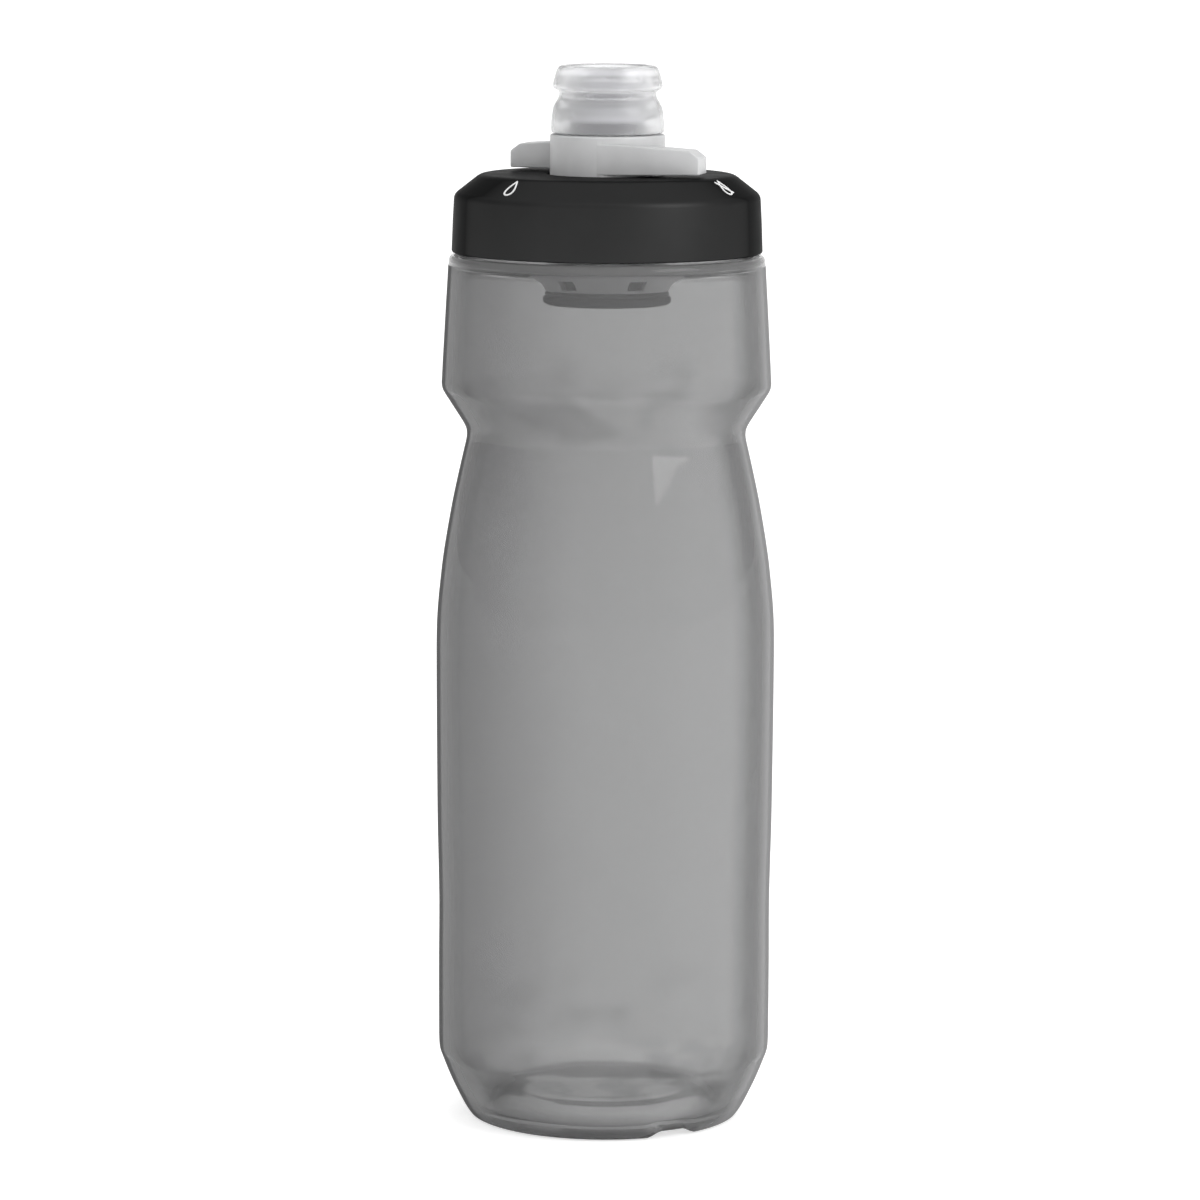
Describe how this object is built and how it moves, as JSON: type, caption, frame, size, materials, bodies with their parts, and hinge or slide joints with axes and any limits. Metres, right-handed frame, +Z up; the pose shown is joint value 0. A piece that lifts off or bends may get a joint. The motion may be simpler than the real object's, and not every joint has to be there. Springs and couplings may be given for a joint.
{
  "type": "bicycle water bottle",
  "caption": "Squeeze bottle for a bicycle cage: smoked translucent body with a waist, black screw cap, grey quarter-turn lock dial and a soft slit nozzle.",
  "frame": {"origin": "centre of the ring that the bottle stands on, at the level of the table", "axes": "+Z up along the bottle's axis towards the nozzle; -Y towards the side with the two position marks, the front; +X to the right seen from the front"},
  "size_m": [0.0734, 0.0734, 0.2293],
  "materials": {
    "smoke_plastic": "frosted translucent grey, soft blown polyethylene",
    "black_plastic": "satin moulded polypropylene",
    "grey_plastic": "satin moulded polypropylene",
    "clear_silicone": "milky clear silicone",
    "seal_rubber": "smooth rubber",
    "mark_white": "printed white"
  },
  "bodies": {
    "bottle": {"bottle_body": "smoke_plastic"},
    "lip_seal": {"cap_gasket": "clear_silicone"},
    "cap": {"cap_shell": "black_plastic", "valve_housing": "grey_plastic", "valve_end_disc": "black_plastic", "disc_washer": "seal_rubber", "open_mark": "mark_white", "locked_mark": "mark_white"},
    "dial": {"lock_dial": "grey_plastic", "valve_rotor": "black_plastic", "stem_ring_lower": "seal_rubber", "stem_ring_upper": "seal_rubber", "nozzle_valve": "clear_silicone"}
  },
  "joints": [
    {"name": "cap_lift", "type": "slide", "parent": "bottle", "child": "lip_seal", "axis": [0, 0, 1], "range_m": [0, 0.009]},
    {"name": "cap_turn", "type": "hinge", "parent": "lip_seal", "child": "cap", "pos_m": [0, 0, 0.1891], "axis": [0, 0, 1], "range_deg": [0, 720]},
    {"name": "dial_turn", "type": "hinge", "parent": "cap", "child": "dial", "pos_m": [0, 0, 0.2055], "axis": [0, 0, 1], "range_deg": [-90, 0]}
  ],
  "couplings": [
    {"joint": "cap_lift", "follows": "cap_turn", "m_per_rad": 0.0007162}
  ]
}
